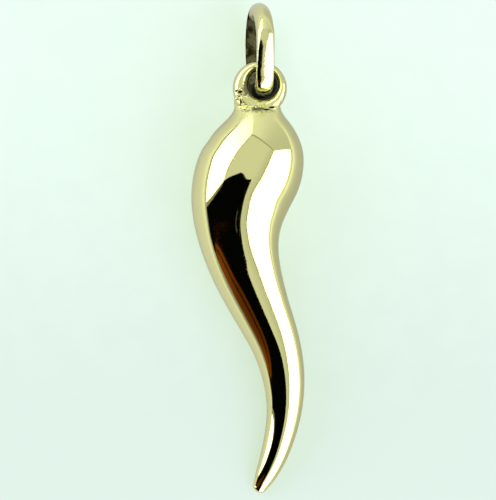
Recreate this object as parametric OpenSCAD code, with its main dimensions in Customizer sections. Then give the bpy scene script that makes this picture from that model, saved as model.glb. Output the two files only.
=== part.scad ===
// Horn pendant: a solid S-curved horn with an eye soldered to its head, and the
// heavy bail ring that runs through the eye. Millimetres, lying on a surface at
// Z = 0, with the tip towards -Y and the bail towards +Y.

/* [Horn] */
// Length of the horn from its shoulder to its tip
horn_l = 28.5; // [26:0.1:30]
// Width of the horn across its head
horn_w = 7.72; // [7.2:0.04:8.4]
// Depth of the body as a share of its width
body_depth = 0.85; // [0.82:0.01:0.92]
// Length of the rounded end past the last section
tip_cap = 0.4; // [0.3:0.05:0.6]
// Slope of the lying horn, with its head and its tip both on the surface
lie_tilt = 9.1; // [8.6:0.1:9.6]
// Roll of the lying horn onto the side that it rests on
lie_roll = -6.5; // [-8:0.5:-4]

/* [Eye] */
// Outer diameter of the eye
eye_d = 3.95; // [3.8:0.05:4.1]
// Thickness of the eye, front to back
eye_t = 1.45; // [1.4:0.05:1.6]
// Diameter of the hole through the eye
hole_d = 2.2; // [2.15:0.05:2.3]
// How far the hole sits to the right of the eye's centre
hole_side = 0.23; // [0:0.01:0.3]
// How far the hole sits above the eye's centre
hole_up = 0.28; // [0:0.01:0.3]
// Rounding of the eye's edges
eye_edge = 0.6; // [0.5:0.05:0.65]
// How far the eye is soldered on below the middle of the horn's head
eye_drop = 0.4; // [0.3:0.05:0.5]
// Slope of the eye, which is soldered on flatter than the horn
eye_tilt = 0; // [-2:0.5:1]

/* [Bail ring] */
// Outer diameter of the bail ring
bail_d = 7.05; // [6.8:0.05:7.3]
// Diameter of the bail's wire
wire_d = 1.25; // [1.15:0.05:1.3]
// How far the standing bail leans to the right
bail_lean = 8; // [4:0.2:9]
// How far it is turned out of line with the pendant
bail_turn = 1.4; // [0:0.2:2]

/* [Fineness] */
// Sides of each section of the horn
horn_sides = 32; // [24:4:40]
// Rings between one row of the section table and the next
rings_per_row = 3; // [2:1:4]
// Flats along each rounded edge of the eye
edge_flats = 5; // [4:1:8]

/* [Hidden] */
gold = "#d6c46e";
bail_gold = "#cfc078";
$fn = 64;

// Sections of the horn, in its own frame. "along" runs down the horn from its
// shoulder to its tip. "side" and "rise" place the section's centre across the
// curve and through it, measured from the line through the eye's centre, and
// "width" and "depth" are its half sizes in the same two directions. A depth
// of 0 stands for the body's own share of the width. The rows before the
// shoulder are the solder collar that rises to the eye.
ALONG = 0;
SIDE = 1;
RISE = 2;
WIDTH = 3;
DEPTH = 4;
sections = [
    // along, side, rise, width, depth
    [-0.80, -0.26, -0.52, 1.70, 0.60],
    [-0.50, -0.30, -0.48, 1.62, 0.76],
    [-0.10, -0.14, -0.42, 1.54, 1.10],
    [ 0.10, -0.14, -0.40, 1.68, 1.46],
    [ 0.60, -0.19, -0.36, 2.17, 1.94],
    [ 1.20, -0.30, -0.34, 2.73, 0],
    [ 2.10, -0.25, -0.36, 3.30, 0],
    [ 3.20, -0.35, -0.43, 3.66, 0],
    [ 4.40, -0.78, -0.53, 3.86, 0],
    [ 5.75, -1.37, -0.63, 3.77, 0],
    [ 7.15, -1.62, -0.67, 3.56, 0],
    [ 8.80, -1.68, -0.62, 3.17, 0],
    [10.60, -1.41, -0.51, 2.79, 0],
    [12.50, -0.82, -0.40, 2.48, 0],
    [14.80,  0.13, -0.30, 2.14, 0],
    [17.20,  1.17, -0.22, 1.83, 0],
    [19.60,  1.75, -0.17, 1.57, 0],
    [21.70,  1.86, -0.13, 1.34, 0],
    [23.60,  1.60, -0.10, 1.17, 0],
    [25.50,  1.08, -0.07, 1.00, 0],
    [26.90,  0.53, -0.04, 0.81, 0],
    [27.60,  0.19, -0.02, 0.69, 0],
    [28.00, -0.03, -0.01, 0.57, 0]
];
last = len(sections) - 1;

// The table is drawn out to the horn's length and width
stretch = (horn_l - tip_cap) / sections[last][ALONG];
girth = horn_w / (2 * max([for (row = sections) row[WIDTH]]));
// Stretch of the horn over which the turn of its sections is evened out
even_out = 1.5;

// Angles of the rings that round off the tip
cap_angles = [22, 44, 66, 80];

// The eye's centre is this far above the shoulder
eye_up = 1.72;
// Places of the eye and the bail in the lying pendant
eye_x = 0.87;
shoulder_y = 10.08;
bail_x = 0.88;
bail_y = 14.58;

eye_r = eye_d / 2;
hole_r = hole_d / 2;
wire_r = wire_d / 2;
bail_r = bail_d / 2 - wire_r;
bail_z = bail_r * cos(bail_lean) + wire_r;
// How far the hole is cut past the eye's two faces
past = 0.2;

// Real size in one column of the table at a row, with the depth filled in
function cell(row, column) =
    column < WIDTH ? stretch * sections[row][column]
    : column == DEPTH && sections[row][DEPTH] == 0
        ? body_depth * girth * sections[row][WIDTH]
        : girth * sections[row][column];

// Slope of a column from one row to the next
function step_slope(row, column) =
    (cell(row + 1, column) - cell(row, column))
    / (cell(row + 1, ALONG) - cell(row, ALONG));

// Slope of a column at a row, weighted to the nearer neighbour
function row_slope(row, column) =
    row == 0 ? step_slope(0, column)
    : row == last ? step_slope(last - 1, column)
    : let (before = cell(row, ALONG) - cell(row - 1, ALONG),
           after = cell(row + 1, ALONG) - cell(row, ALONG))
      (step_slope(row - 1, column) * after + step_slope(row, column) * before)
      / (before + after);

// The row that a place along the horn comes after
function row_at(along) =
    max([for (row = [0 : last - 1]) if (row == 0 || cell(row, ALONG) <= along) row]);

// A column's value at a place along the horn, on a cubic curve between rows
function value(along, column) =
    let (row = row_at(along),
         span = cell(row + 1, ALONG) - cell(row, ALONG),
         t = (along - cell(row, ALONG)) / span,
         t2 = t * t,
         t3 = t2 * t)
    (2 * t3 - 3 * t2 + 1) * cell(row, column)
    + (t3 - 2 * t2 + t) * span * row_slope(row, column)
    + (3 * t2 - 2 * t3) * cell(row + 1, column)
    + (t3 - t2) * span * row_slope(row + 1, column);

// How the side offset turns about that place, over a stretch that evens it out
function side_slope(along) =
    let (from = max(along - even_out, cell(0, ALONG)),
         to = min(along + even_out, cell(last, ALONG)))
    (value(to, SIDE) - value(from, SIDE)) / (to - from);

// Each ring is its centre, its direction across the curve, and its half sizes
function ring(along) =
    let (slope = side_slope(along))
    [[value(along, SIDE), -along, value(along, RISE)],
     [1, slope, 0] / norm([1, slope]),
     value(along, WIDTH),
     value(along, DEPTH)];

end_ring = ring(cell(last, ALONG));
end_way = [end_ring[1][1], -end_ring[1][0], 0];

// The end ring, drawn in and moved on round the tip
function cap_ring(angle) =
    [end_ring[0] + end_way * tip_cap * sin(angle),
     end_ring[1],
     end_ring[2] * cos(angle),
     end_ring[3] * cos(angle)];

rings = [
    for (row = [0 : last - 1], k = [0 : rings_per_row - 1])
        let (part = k / rings_per_row)
        ring(cell(row, ALONG) * (1 - part) + cell(row + 1, ALONG) * part),
    end_ring,
    for (angle = cap_angles) cap_ring(angle)
];
tip_point = end_ring[0] + end_way * tip_cap;

// Points round every ring, with a flat of each section facing down
side_angle = 360 / horn_sides;
horn_points = [
    for (r = rings, j = [0 : horn_sides - 1])
        let (a = (j + 0.5) * side_angle)
        r[0] + r[1] * r[2] * cos(a) + [0, 0, r[3] * sin(a)],
    tip_point
];

// Height that sets the sloping horn's lowest point on the surface
horn_z = -min([
    for (p = horn_points)
        p[1] * sin(lie_tilt)
        + (p[2] * cos(lie_roll) - p[0] * sin(lie_roll)) * cos(lie_tilt)
]);

module horn_body() {
    count = len(rings);
    pole = len(horn_points) - 1;
    function id(i, j) = i * horn_sides + j % horn_sides;
    faces = [
        [for (j = [0 : horn_sides - 1]) j],
        for (i = [0 : count - 2], j = [0 : horn_sides - 1])
            [id(i, j), id(i + 1, j), id(i + 1, j + 1)],
        for (i = [0 : count - 2], j = [0 : horn_sides - 1])
            [id(i, j), id(i + 1, j + 1), id(i, j + 1)],
        for (j = [0 : horn_sides - 1])
            [id(count - 1, j), pole, id(count - 1, j + 1)]
    ];
    polyhedron(points = horn_points, faces = faces);
}

// Quarter round from one angle to another, about a centre
function edge_arc(centre, from, to) = [
    for (k = [0 : edge_flats])
        let (a = from + (to - from) * k / edge_flats)
        centre + eye_edge * [cos(a), sin(a)]
];

module eye_disc() {
    inner = eye_r - eye_edge;
    level = eye_t / 2 - eye_edge;
    rotate_extrude()
        polygon(concat(
            [[0, -eye_t / 2]],
            edge_arc([inner, -level], -90, 0),
            edge_arc([inner, level], 0, 90),
            [[0, eye_t / 2]]
        ));
}

module eye_hole() {
    outer = hole_r + eye_edge;
    level = eye_t / 2 - eye_edge;
    rotate_extrude()
        polygon(concat(
            [[0, -eye_t / 2 - past], [outer, -eye_t / 2 - past]],
            edge_arc([outer, -level], 270, 180),
            edge_arc([outer, level], 180, 90),
            [[outer, eye_t / 2 + past], [0, eye_t / 2 + past]]
        ));
}

module horn() {
    color(gold)
        translate([eye_x, shoulder_y, horn_z])
            difference() {
                union() {
                    rotate([lie_tilt, 0, 0]) rotate([0, lie_roll, 0]) horn_body();
                    translate([0, 0, -eye_drop]) rotate([eye_tilt, 0, 0])
                        translate([0, eye_up, 0]) eye_disc();
                }
                translate([0, 0, -eye_drop]) rotate([eye_tilt, 0, 0])
                    translate([hole_side, eye_up + hole_up, 0]) eye_hole();
            }
}

module bail_ring() {
    color(bail_gold)
        translate([bail_x, bail_y, bail_z])
            rotate([0, 90 + bail_lean, bail_turn])
                rotate_extrude()
                    translate([bail_r, 0]) circle(wire_r);
}

horn();
bail_ring();
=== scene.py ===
"""Horn pendant: a polished gold horn with a soldered eye and a heavy round bail
ring, lying on a pale surface under a soft light box. Lengths in the tables and
in the mesh code are millimetres, and every finished mesh is turned into metres."""

import math
from collections import namedtuple

import bmesh
import bpy
import numpy as np
from bpy.props import FloatProperty, FloatVectorProperty, IntProperty, PointerProperty
from mathutils import Matrix, Vector, noise


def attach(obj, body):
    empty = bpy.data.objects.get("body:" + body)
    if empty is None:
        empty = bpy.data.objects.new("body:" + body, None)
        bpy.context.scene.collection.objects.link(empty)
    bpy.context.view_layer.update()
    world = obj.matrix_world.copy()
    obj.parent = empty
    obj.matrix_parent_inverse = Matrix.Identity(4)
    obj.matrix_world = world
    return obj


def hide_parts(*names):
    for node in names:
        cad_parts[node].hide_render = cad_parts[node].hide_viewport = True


bl_info = {
    "name": "Horn Pendant",
    "version": (1, 0, 0),
    "blender": (4, 5, 0),
    "location": "3D View > Sidebar > Pendant",
    "description": "Builds a gold horn pendant with its eye, solder and bail ring",
    "category": "Add Mesh",
}

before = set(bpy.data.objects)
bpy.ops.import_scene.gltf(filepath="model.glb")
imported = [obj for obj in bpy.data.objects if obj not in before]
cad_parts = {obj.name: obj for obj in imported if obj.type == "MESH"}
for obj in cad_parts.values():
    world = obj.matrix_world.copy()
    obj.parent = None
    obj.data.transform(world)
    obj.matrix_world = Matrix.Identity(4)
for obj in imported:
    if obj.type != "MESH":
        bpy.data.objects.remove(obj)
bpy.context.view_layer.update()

MM = 0.001


# Sizes and looks


class HornSizes(bpy.types.PropertyGroup):
    length: FloatProperty(
        name="Length", description="Length of the horn from its shoulder to its tip",
        default=28.5 * MM, min=26 * MM, max=30 * MM, unit="LENGTH",
    )
    width: FloatProperty(
        name="Width", description="Width of the horn across its head",
        default=7.72 * MM, min=7.2 * MM, max=8.4 * MM, unit="LENGTH",
    )
    depth_share: FloatProperty(
        name="Depth share", description="Depth of the body as a share of its width",
        default=0.85, min=0.8, max=1.0, subtype="FACTOR",
    )
    tip_cap: FloatProperty(
        name="Tip rounding", description="Length of the rounded end past the last section",
        default=0.4 * MM, min=0.3 * MM, max=0.6 * MM, unit="LENGTH",
    )
    tilt: FloatProperty(
        name="Slope", description="Slope of the lying horn from its head down to its tip",
        default=math.radians(9.1), subtype="ANGLE",
    )
    roll: FloatProperty(
        name="Roll", description="Roll of the lying horn onto the side that it rests on",
        default=math.radians(-6.5), subtype="ANGLE",
    )
    place: FloatVectorProperty(
        name="Shoulder", description="Place of the middle of the shoulder over the surface",
        default=(0.87 * MM, 10.08 * MM), size=2, subtype="XYZ_LENGTH",
    )
    sides: IntProperty(
        name="Sides", description="Sides of each ring of the horn's mesh",
        default=144, min=48, max=180,
    )


class EyeSizes(bpy.types.PropertyGroup):
    diameter: FloatProperty(
        name="Diameter", description="Outer diameter of the eye",
        default=3.95 * MM, unit="LENGTH",
    )
    thickness: FloatProperty(
        name="Thickness", description="Thickness of the eye from front to back",
        default=1.45 * MM, unit="LENGTH",
    )
    hole: FloatProperty(
        name="Hole", description="Diameter of the hole through the eye",
        default=2.2 * MM, unit="LENGTH",
    )
    hole_offset: FloatVectorProperty(
        name="Hole offset", description="How far the hole sits to the right and up",
        default=(0.23 * MM, 0.28 * MM), size=2, subtype="XYZ_LENGTH",
    )
    drop: FloatProperty(
        name="Drop", description="How far the eye sits below the middle of the head",
        default=0.4 * MM, unit="LENGTH",
    )
    reach: FloatProperty(
        name="Reach", description="Distance of the eye's middle from the shoulder",
        default=1.72 * MM, unit="LENGTH",
    )


class BailSizes(bpy.types.PropertyGroup):
    diameter: FloatProperty(
        name="Diameter", description="Outer diameter of the bail ring",
        default=7.05 * MM, unit="LENGTH",
    )
    wire: FloatProperty(
        name="Wire", description="Diameter of the bail's wire",
        default=1.25 * MM, unit="LENGTH",
    )
    lean: FloatProperty(
        name="Lean", description="How far the standing ring leans to the right",
        default=math.radians(8), subtype="ANGLE",
    )
    turn: FloatProperty(
        name="Turn", description="How far the ring is turned out of line with the horn",
        default=math.radians(1.4), subtype="ANGLE",
    )
    flatness: FloatProperty(
        name="Flatness", description="How flat the wire's outer side is filed, from 1 for round",
        default=0.55, min=0.4, max=1,
    )
    ridge: FloatProperty(
        name="Ridge", description="Share of the wire that the filed faces fall to each side",
        default=0.2, min=0, max=0.4,
    )
    unevenness: FloatProperty(
        name="Unevenness", description="How far the wire's surface waves in and out",
        default=0.03 * MM, unit="LENGTH",
    )
    place: FloatVectorProperty(
        name="Place", description="Place of the ring's middle over the surface",
        default=(0.88 * MM, 14.58 * MM), size=2, subtype="XYZ_LENGTH",
    )


class GoldLook(bpy.types.PropertyGroup):
    horn_colour: FloatVectorProperty(
        name="Horn gold", description="Colour of the polished gold of the horn and its eye",
        default=(0.84, 0.84, 0.385), subtype="COLOR", min=0, max=1,
    )
    bail_colour: FloatVectorProperty(
        name="Bail gold", description="Colour of the bail ring's gold",
        default=(0.80, 0.81, 0.38), subtype="COLOR", min=0, max=1,
    )
    # Also the colour of the painted shade in the eye's hole, along the horn's joint with the
    # solder, and on the bail low down and where it lies hidden in the hole
    tarnish_and_shade: FloatVectorProperty(
        name="Tarnish", description="Colour that dirt and polishing paste leave in hollows",
        default=(0.016, 0.012, 0.002), subtype="COLOR", min=0, max=1,
    )


class StudioLook(bpy.types.PropertyGroup):
    floor_colour: FloatVectorProperty(
        name="Surface", description="Colour of the surface that the pendant lies on",
        default=(0.25, 0.26, 0.42), subtype="COLOR", min=0, max=1,
    )
    floor_glow: FloatVectorProperty(
        name="Surface glow", description="Light that the surface gives towards the camera",
        default=(0.56, 0.71, 0.43), subtype="COLOR", min=0, max=1,
    )
    # Painted shade: the surface as the gold mirrors it close round the pendant
    floor_mirrored_shade: FloatVectorProperty(
        name="Surface in the gold", description="Colour of the surface as the gold mirrors it",
        default=(0.60, 0.60, 0.66), subtype="COLOR", min=0, max=1,
    )
    backdrop: FloatVectorProperty(
        name="Backdrop", description="Colour seen past the far edge of the surface",
        default=(0.84, 0.96, 0.90), subtype="COLOR", min=0, max=1,
    )
    wall: FloatProperty(
        name="Wall light", description="Brightness of the white side walls of the light box",
        default=2.6, min=0,
    )
    ceiling: FloatProperty(
        name="Ceiling light", description="Brightness of the light box's ceiling",
        default=0.73, min=0,
    )
    back: FloatProperty(
        name="Back light", description="Brightness of the light box's back wall",
        default=0.62, min=0,
    )
    seam: FloatProperty(
        name="Seam light", description="Brightness of the shaded seams between the walls",
        default=0.3, min=0,
    )
    fold: FloatProperty(
        name="Fold light", description="Brightness of the fold of cloth along the left side",
        default=0.5, min=0,
    )
    brown: FloatProperty(
        name="Brown card", description="Brightness of the brown thing outside the opening",
        default=0.095, min=0,
    )
    lens: FloatProperty(
        name="Lens", description="Focal length of the camera in millimetres",
        default=290.7, min=50,
    )
    height: FloatProperty(
        name="Camera height", description="Height of the camera over the surface",
        default=300 * MM, unit="LENGTH",
    )


class PendantSettings(bpy.types.PropertyGroup):
    horn: PointerProperty(type=HornSizes)
    eye: PointerProperty(type=EyeSizes)
    bail: PointerProperty(type=BailSizes)
    gold: PointerProperty(type=GoldLook)
    studio: PointerProperty(type=StudioLook)


# Meshes

# Points that are closer than this count as one, and edges that are shorter than
# the second as none
SAME_POINT, NO_EDGE = 1e-5, 1e-7
# A piece with fewer faces than this has come out wrong
LEAST_FACES = 1000


def linked(name, mesh):
    """A new object in the scene, from a mesh."""
    body = bpy.data.objects.new(name, mesh)
    bpy.context.scene.collection.objects.link(body)
    return body


def plain_mesh(name, points, edges, faces):
    """A mesh object from points, loose edges and faces."""
    mesh = bpy.data.meshes.new(name)
    mesh.from_pydata([tuple(p) for p in points], edges, [tuple(f) for f in faces])
    mesh.update()
    return linked(name, mesh)


def line_of_points(name, points, closed, **columns):
    """A line of points that carry a number or a vector each, by column."""
    count = len(points)
    edges = [(i, (i + 1) % count) for i in range(count if closed else count - 1)]
    line = plain_mesh(name, points, edges, [])
    for label, values in columns.items():
        kind, key = ("FLOAT", "value") if values.ndim == 1 else ("FLOAT_VECTOR", "vector")
        store = line.data.attributes.new(label, kind, "POINT")
        store.data.foreach_set(key, values.astype(np.float32).ravel())
    return line


def close_and_turn_out(body):
    """Merges doubled points and turns every face outwards."""
    net = bmesh.new()
    net.from_mesh(body.data)
    bmesh.ops.remove_doubles(net, verts=net.verts, dist=SAME_POINT)
    bmesh.ops.dissolve_degenerate(net, edges=net.edges, dist=NO_EDGE)
    bmesh.ops.recalc_face_normals(net, faces=net.faces)
    if net.calc_volume(signed=True) < 0:
        bmesh.ops.reverse_faces(net, faces=net.faces)
    net.to_mesh(body.data)
    net.free()


def smooth_in_metres(body):
    """Shades a mesh smoothly and turns its millimetres into metres."""
    mesh = body.data
    mesh.polygons.foreach_set("use_smooth", [True] * len(mesh.polygons))
    mesh.transform(Matrix.Scale(MM, 4))
    mesh.update()


def baked(body, name):
    """The evaluated object as a plain mesh object, in place of the first one."""
    graph = bpy.context.evaluated_depsgraph_get()
    graph.update()
    mesh = bpy.data.meshes.new_from_object(body.evaluated_get(graph))
    if len(mesh.polygons) < LEAST_FACES:
        raise RuntimeError(name + " came out without a whole surface")
    bpy.data.objects.remove(body)
    mesh.name = name
    return linked(name, mesh)


# Node trees


def feed(tree, slot, value):
    """Links a socket to an input, or sets the input to a plain value."""
    if isinstance(value, bpy.types.NodeSocket):
        tree.links.new(value, slot)
    else:
        slot.default_value = value


def add_node(tree, kind, inputs=None, **settings):
    """A node with its settings, and its inputs by name or number."""
    node = tree.nodes.new(kind)
    for key, value in settings.items():
        setattr(node, key, value)
    for key, value in (inputs or {}).items():
        feed(tree, node.inputs[key], value)
    return node


def new_group(kind, name, inputs, outputs):
    """A node group with named sockets, what comes in, and the inputs' identifiers."""
    group = bpy.data.node_groups.new(name, kind)
    ids = {}
    for label, sort, *default in inputs:
        socket = group.interface.new_socket(
            label, in_out="INPUT", socket_type="NodeSocket" + sort
        )
        for value in default:
            socket.default_value = value
        ids[label] = socket.identifier
    for label, sort in outputs:
        group.interface.new_socket(
            label, in_out="OUTPUT", socket_type="NodeSocket" + sort
        )
    return group, add_node(group, "NodeGroupInput").outputs, ids


def maths(tree, operation, *values):
    """The result of a math node over numbers and sockets."""
    inputs = dict(enumerate(values))
    return add_node(tree, "ShaderNodeMath", inputs, operation=operation).outputs[0]


def product(tree, *values):
    """Numbers and sockets multiplied together."""
    total = values[0]
    for value in values[1:]:
        total = maths(tree, "MULTIPLY", total, value)
    return total


def vectors(tree, operation, *values, **scale):
    """The result of a vector math node over vectors and sockets."""
    inputs = {**dict(enumerate(values)), **scale}
    node = add_node(tree, "ShaderNodeVectorMath", inputs, operation=operation)
    return node.outputs["Value" if operation in ("LENGTH", "DOT_PRODUCT") else "Vector"]


def split(tree, vector):
    """The parts of a vector, by axis."""
    return add_node(tree, "ShaderNodeSeparateXYZ", {0: vector}).outputs


def joined(tree, **parts):
    """A vector from its parts, with nothing along the other axes."""
    return add_node(tree, "ShaderNodeCombineXYZ", parts).outputs[0]


def ease(tree, value, start, stop, low=0.0, high=1.0):
    """A smooth step of a value from one level to another."""
    levels = {"Value": value, "From Min": start, "From Max": stop, "To Min": low, "To Max": high}
    step = add_node(tree, "ShaderNodeMapRange", levels, interpolation_type="SMOOTHSTEP")
    return step.outputs[0]


def noise_of(tree, place, scale, detail=2.0, roughness=0.5):
    """The level of a noise at a place."""
    inputs = {"Vector": place, "Scale": scale, "Detail": detail, "Roughness": roughness}
    return add_node(tree, "ShaderNodeTexNoise", inputs).outputs["Fac"]


def blend(tree, factor, one, other):
    """A colour between two colours or sockets."""
    node = add_node(tree, "ShaderNodeMix", {"Factor": factor}, data_type="RGBA")
    for key, colour in (("A", one), ("B", other)):
        plain = not isinstance(colour, bpy.types.NodeSocket)
        feed(tree, node.inputs[key], (*colour, 1) if plain else colour)
    return node.outputs["Result"]


# Geometry node trees


def kept_place(tree, curve):
    """A curve and the captured places of its points."""
    keep = add_node(tree, "GeometryNodeCaptureAttribute", domain="POINT")
    keep.capture_items.new("VECTOR", "Place")
    place = add_node(tree, "GeometryNodeInputPosition").outputs["Position"]
    feed(tree, keep.inputs["Geometry"], curve)
    feed(tree, keep.inputs["Place"], place)
    return keep.outputs["Geometry"], keep.outputs["Place"]


def swept_circle(tree, line, sides):
    """A unit circle swept along a line of points: the mesh, the place on the
    line that each of its points belongs to, and the point's two places round."""
    rail = add_node(tree, "GeometryNodeMeshToCurve", {"Mesh": line}).outputs["Curve"]
    circle = {"Resolution": sides, "Radius": 1.0}
    ring = add_node(tree, "GeometryNodeCurvePrimitiveCircle", circle, mode="RADIUS")
    rail, middle = kept_place(tree, rail)
    ring, place = kept_place(tree, ring.outputs["Curve"])
    sweep = add_node(
        tree, "GeometryNodeCurveToMesh", {"Curve": rail, "Profile Curve": ring}
    )
    parts = split(tree, place)
    return sweep.outputs["Mesh"], middle, parts["X"], parts["Y"]


def stored(tree, name, kind="FLOAT"):
    """A column that the line's points carry."""
    node = add_node(
        tree, "GeometryNodeInputNamedAttribute", {"Name": name}, data_type=kind
    )
    return node.outputs["Attribute"]


def shaped(tree, mesh, place):
    """The mesh with its points moved to their places."""
    inputs = {"Geometry": mesh, "Position": place}
    return add_node(tree, "GeometryNodeSetPosition", inputs).outputs["Geometry"]


def end_tree(tree, mesh, material):
    """Ends a tree with whole, painted geometry."""
    whole = add_node(tree, "GeometryNodeRealizeInstances", {"Geometry": mesh})
    painted = {"Geometry": whole.outputs["Geometry"], "Material": material}
    paint = add_node(tree, "GeometryNodeSetMaterial", painted)
    add_node(tree, "NodeGroupOutput", {"Geometry": paint.outputs["Geometry"]})


def run_tree(line, tree, ids, name, **values):
    """The piece that a tree makes of a line of points."""
    modifier = line.modifiers.new(tree.name, "NODES")
    modifier.node_group = tree
    for label, value in values.items():
        modifier[ids[label.replace("_", " ").capitalize()]] = value
    return baked(line, name)


# Horn

# Sections of the horn, as in the part's source. "crest" is how far the top of
# a section leans to the right, which the reflections show and the outline hides
ALONG, SIDE, RISE, WIDTH, DEPTH, CREST = range(6)
SECTIONS = np.array([
    # along, side, rise, width, depth, crest
    (-0.66, -0.26, -0.52, 1.70, 0.60, 0.00),
    (-0.50, -0.30, -0.48, 1.62, 0.76, 0.00),
    (-0.10, -0.14, -0.42, 1.54, 1.10, 0.02),
    (0.10, -0.14, -0.40, 1.68, 1.46, 0.05),
    (0.60, -0.19, -0.36, 2.17, 1.94, 0.08),
    (1.20, -0.30, -0.34, 2.73, 0, 0.08),
    (2.10, -0.25, -0.36, 3.30, 0, 0.00),
    (3.20, -0.35, -0.43, 3.66, 0, -0.08),
    (4.40, -0.78, -0.53, 3.86, 0, -0.07),
    (5.75, -1.37, -0.63, 3.77, 0, 0.01),
    (7.15, -1.62, -0.67, 3.56, 0, 0.15),
    (8.80, -1.68, -0.62, 3.17, 0, 0.28),
    (10.60, -1.41, -0.51, 2.79, 0, 0.26),
    (12.50, -0.82, -0.40, 2.48, 0, 0.28),
    (14.80, 0.13, -0.30, 2.14, 0, 0.30),
    (17.20, 1.17, -0.22, 1.83, 0, 0.22),
    (19.60, 1.75, -0.17, 1.57, 0, 0.14),
    (21.70, 1.86, -0.13, 1.34, 0, 0.08),
    (23.60, 1.60, -0.10, 1.17, 0, 0.05),
    (25.50, 1.08, -0.07, 1.00, 0, 0.05),
    (26.90, 0.53, -0.06, 0.81, 0.66, 0.03),
    (27.60, 0.19, -0.08, 0.67, 0.50, 0.00),
    (28.00, -0.01, -0.11, 0.51, 0.36, 0.00),
])
# Stretch of the horn over which the turn of its sections is evened out
EVEN_OUT = 1.5
# Distance between the rings of the horn's mesh
RING_STEP = 0.06
# How far the corners between the rows are softened: in a section's half sizes,
# in its place, and in its turn
SOFT_SIZE, SOFT_PLACE, SOFT_TURN = 0.45, 0.7, 0.5
# Rings that round off the tip
TIP_RINGS = 27
# Sizes of the rings that close the head end to a point inside the eye, as shares
# of the first section
HEAD_RINGS = np.array([0.0, 0.5, 0.8, 0.95])
# Distance under which the rings' points at the two ends run together
RING_MERGE = 1e-4
# Places along and round the horn where its height over the surface is tried
TRIED_ALONG, TRIED_ROUND = 900, 121


def hermite(rows, along, column):
    """A column's value on a cubic curve through the rows of the table."""
    x, y = rows[:, ALONG], rows[:, column]
    gap = np.diff(x)
    step = np.diff(y) / gap
    slope = np.empty(len(x))
    slope[0], slope[-1] = step[0], step[-1]
    slope[1:-1] = (step[:-1] * gap[1:] + step[1:] * gap[:-1]) / (gap[1:] + gap[:-1])
    row = np.clip(np.searchsorted(x, along, "right") - 1, 0, len(x) - 2)
    span = gap[row]
    t = (along - x[row]) / span
    return (
        (2 * t**3 - 3 * t**2 + 1) * y[row]
        + (t**3 - 2 * t**2 + t) * span * slope[row]
        + (3 * t**2 - 2 * t**3) * y[row + 1]
        + (t**3 - t**2) * span * slope[row + 1]
    )


def softened(values, step, spread):
    """A column with its corners evened out, its two ends kept."""
    count = int(3 * spread / step)
    weights = np.exp(-0.5 * (np.arange(-count, count + 1) * step / spread) ** 2)
    weights /= weights.sum()
    head = 2 * values[0] - values[count:0:-1]
    tail = 2 * values[-1] - values[-2 : -count - 2 : -1]
    return np.convolve(np.concatenate([head, values, tail]), weights, "valid")


def horn_rows(sizes):
    """The table at the horn's real size."""
    rows = SECTIONS.copy()
    stretch = (sizes.length / MM - sizes.tip_cap / MM) / rows[-1, ALONG]
    girth = sizes.width / MM / (2 * rows[:, WIDTH].max())
    body = rows[:, DEPTH] == 0
    rows[body, DEPTH] = sizes.depth_share * rows[body, WIDTH]
    rows[:, WIDTH] *= girth
    rows[:, DEPTH] *= girth
    rows[:, :WIDTH] *= stretch
    return rows


def side_slope(rows, along):
    """How the side offset turns about each place along the horn."""
    low = np.clip(along - EVEN_OUT, rows[0, ALONG], rows[-1, ALONG])
    high = np.clip(along + EVEN_OUT, rows[0, ALONG], rows[-1, ALONG])
    return (hermite(rows, high, SIDE) - hermite(rows, low, SIDE)) / (high - low)


def horn_spine(sizes, name):
    """A line of points down the middle of the horn, with each point's sizes."""
    rows = horn_rows(sizes)
    first, last = rows[0, ALONG], rows[-1, ALONG]
    along = np.linspace(first, last, int((last - first) / RING_STEP))
    step = along[1] - along[0]

    def column(index, spread):
        return softened(hermite(rows, along, index), step, spread)

    slope = softened(side_slope(rows, along), step, SOFT_TURN)
    across = np.stack([np.ones_like(slope), slope, np.zeros_like(slope)], 1)
    across /= np.linalg.norm(across, axis=1)[:, None]
    side, rise = column(SIDE, SOFT_PLACE), column(RISE, SOFT_PLACE)
    centre = np.stack([side, -along, rise], 1)

    bends = np.radians(np.linspace(0, 90, TIP_RINGS + 1)[1:])
    shrink = np.cos(bends)
    shrink[-1] = 0

    def closed(values):
        """A column of sizes that runs out to nothing at both ends."""
        return np.concatenate([values[0] * HEAD_RINGS, values, values[-1] * shrink])

    head = np.repeat(centre[:1], len(HEAD_RINGS), 0)
    way = np.array([across[-1][1], -across[-1][0], 0])
    tip = centre[-1] + np.outer(np.sin(bends), way) * (sizes.tip_cap / MM)
    head_across = np.repeat(across[:1], len(HEAD_RINGS), 0)
    tip_across = np.repeat(across[-1:], len(bends), 0)
    return line_of_points(
        name,
        np.vstack([head, centre, tip]),
        closed=False,
        across=np.vstack([head_across, across, tip_across]),
        half_width=closed(column(WIDTH, SOFT_SIZE)),
        half_depth=closed(column(DEPTH, SOFT_SIZE)),
        crest=closed(column(CREST, SOFT_PLACE)),
    )


def shoulder_height(sizes):
    """Height of the shoulder that sets the sloping horn's lowest point on the
    surface."""
    rows = horn_rows(sizes)
    along = np.linspace(rows[0, ALONG], rows[-1, ALONG], TRIED_ALONG)
    slope = side_slope(rows, along)
    turn = np.hypot(1, slope)
    width, depth = hermite(rows, along, WIDTH), hermite(rows, along, DEPTH)
    side, rise = hermite(rows, along, SIDE), hermite(rows, along, RISE)
    lowest = 0.0
    for angle in np.linspace(0, 2 * math.pi, TRIED_ROUND):
        x = side + width * math.cos(angle) / turn
        y = -along + width * math.cos(angle) * slope / turn
        z = rise + depth * math.sin(angle)
        rolled = z * math.cos(sizes.roll) - x * math.sin(sizes.roll)
        height = y * math.sin(sizes.tilt) + rolled * math.cos(sizes.tilt)
        lowest = min(lowest, height.min())
    return -lowest


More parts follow.
